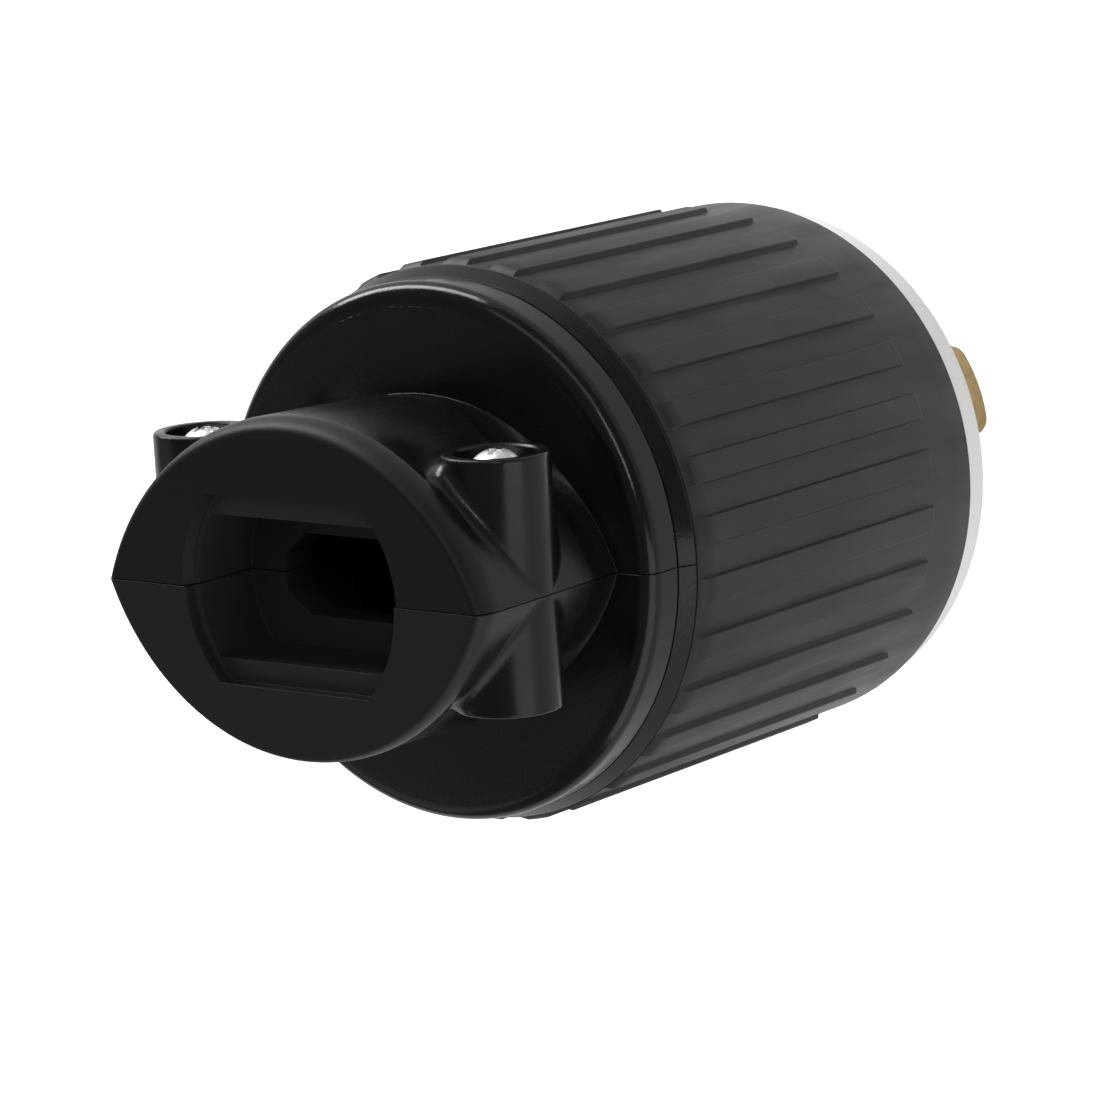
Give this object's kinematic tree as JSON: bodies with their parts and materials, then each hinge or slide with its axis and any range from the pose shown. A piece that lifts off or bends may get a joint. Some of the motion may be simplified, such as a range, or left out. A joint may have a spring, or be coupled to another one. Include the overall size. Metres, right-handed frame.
{
  "type": "twist-lock plug",
  "caption": "Round cord plug with curved locking blades, a ribbed grip and a two-part cord clamp closed by screws.",
  "frame": {"origin": "middle of the circle of blade tips, on the plane that the tips rest on", "axes": "+Z from the blades towards the cord end, X along the clamp's parting plane, +Y towards the heads of the clamp screws"},
  "size_m": [0.0588, 0.059, 0.1024],
  "materials": {
    "grip": "black nylon, satin",
    "shell": "black nylon, satin with glossy bends",
    "white": "white nylon, satin",
    "block": "white nylon, satin",
    "brass": "rolled brass, satin",
    "plate_brass": "pressed brass, satin",
    "insert_brass": "turned brass",
    "terminal_brass": "turned brass screw",
    "terminal_silver": "bright nickel on a steel screw",
    "terminal_green": "green dye on a steel screw",
    "steel": "zinc on a steel screw",
    "zinc": "bright zinc on steel"
  },
  "bodies": {
    "plug_body": {"grip_sleeve": "grip", "white_face": "white", "terminal_block": "block", "blade_line_x": "brass", "blade_ground": "brass", "blade_line_y": "brass", "blade_neutral": "brass", "long_screw_1": "steel", "long_screw_2": "steel", "screw_insert_1": "insert_brass", "screw_insert_2": "insert_brass", "clamp_lower": "shell", "clamp_nut_left": "zinc", "clamp_nut_right": "zinc"},
    "loose_clamp_half": {"clamp_upper": "shell"},
    "clamp_screw_left": {"clamp_screw_left": "zinc"},
    "clamp_screw_right": {"clamp_screw_right": "zinc"},
    "wire_plate_line_x": {"wire_plate_line_x": "plate_brass"},
    "terminal_screw_line_x": {"terminal_screw_line_x": "terminal_brass"},
    "wire_plate_ground": {"wire_plate_ground": "plate_brass"},
    "terminal_screw_ground": {"terminal_screw_ground": "terminal_green"},
    "wire_plate_line_y": {"wire_plate_line_y": "plate_brass"},
    "terminal_screw_line_y": {"terminal_screw_line_y": "terminal_brass"},
    "wire_plate_neutral": {"wire_plate_neutral": "plate_brass"},
    "terminal_screw_neutral": {"terminal_screw_neutral": "terminal_silver"}
  },
  "joints": [
    {"name": "clamp_screw_left_turn", "type": "hinge", "parent": "loose_clamp_half", "child": "clamp_screw_left", "pos_m": [-0.0188, 0, 0.0919], "axis": [0, 1, 0], "range_deg": [0, 720]},
    {"name": "clamp_screw_right_turn", "type": "hinge", "parent": "loose_clamp_half", "child": "clamp_screw_right", "pos_m": [0.0188, 0, 0.0919], "axis": [0, 1, 0], "range_deg": [0, 720]},
    {"name": "clamp_lift", "type": "slide", "parent": "plug_body", "child": "loose_clamp_half", "axis": [0, 1, 0], "range_m": [0, 0.0016]},
    {"name": "wire_plate_line_x_travel", "type": "slide", "parent": "plug_body", "child": "wire_plate_line_x", "axis": [0.9367, 0.3502, 0], "range_m": [0, 0.0032]},
    {"name": "terminal_screw_line_x_turn", "type": "hinge", "parent": "wire_plate_line_x", "child": "terminal_screw_line_x", "pos_m": [0.01667, 0.00623, 0.041], "axis": [0.9367, 0.3502, 0], "range_deg": [0, 1440]},
    {"name": "wire_plate_ground_travel", "type": "slide", "parent": "plug_body", "child": "wire_plate_ground", "axis": [-0.3502, 0.9367, 0], "range_m": [0, 0.0032]},
    {"name": "terminal_screw_ground_turn", "type": "hinge", "parent": "wire_plate_ground", "child": "terminal_screw_ground", "pos_m": [-0.00623, 0.01667, 0.041], "axis": [-0.3502, 0.9367, 0], "range_deg": [0, 1440]},
    {"name": "wire_plate_line_y_travel", "type": "slide", "parent": "plug_body", "child": "wire_plate_line_y", "axis": [-0.9367, -0.3502, 0], "range_m": [0, 0.0032]},
    {"name": "terminal_screw_line_y_turn", "type": "hinge", "parent": "wire_plate_line_y", "child": "terminal_screw_line_y", "pos_m": [-0.01667, -0.00623, 0.041], "axis": [-0.9367, -0.3502, 0], "range_deg": [0, 1440]},
    {"name": "wire_plate_neutral_travel", "type": "slide", "parent": "plug_body", "child": "wire_plate_neutral", "axis": [0.3502, -0.9367, 0], "range_m": [0, 0.0032]},
    {"name": "terminal_screw_neutral_turn", "type": "hinge", "parent": "wire_plate_neutral", "child": "terminal_screw_neutral", "pos_m": [0.00623, -0.01667, 0.041], "axis": [0.3502, -0.9367, 0], "range_deg": [0, 1440]}
  ],
  "couplings": [
    {"joint": "clamp_screw_left_turn", "follows": "clamp_lift", "rad_per_m": 7854},
    {"joint": "clamp_screw_right_turn", "follows": "clamp_lift", "rad_per_m": 7854},
    {"joint": "terminal_screw_line_x_turn", "follows": "wire_plate_line_x_travel", "rad_per_m": 7854},
    {"joint": "terminal_screw_ground_turn", "follows": "wire_plate_ground_travel", "rad_per_m": 7854},
    {"joint": "terminal_screw_line_y_turn", "follows": "wire_plate_line_y_travel", "rad_per_m": 7854},
    {"joint": "terminal_screw_neutral_turn", "follows": "wire_plate_neutral_travel", "rad_per_m": 7854}
  ]
}
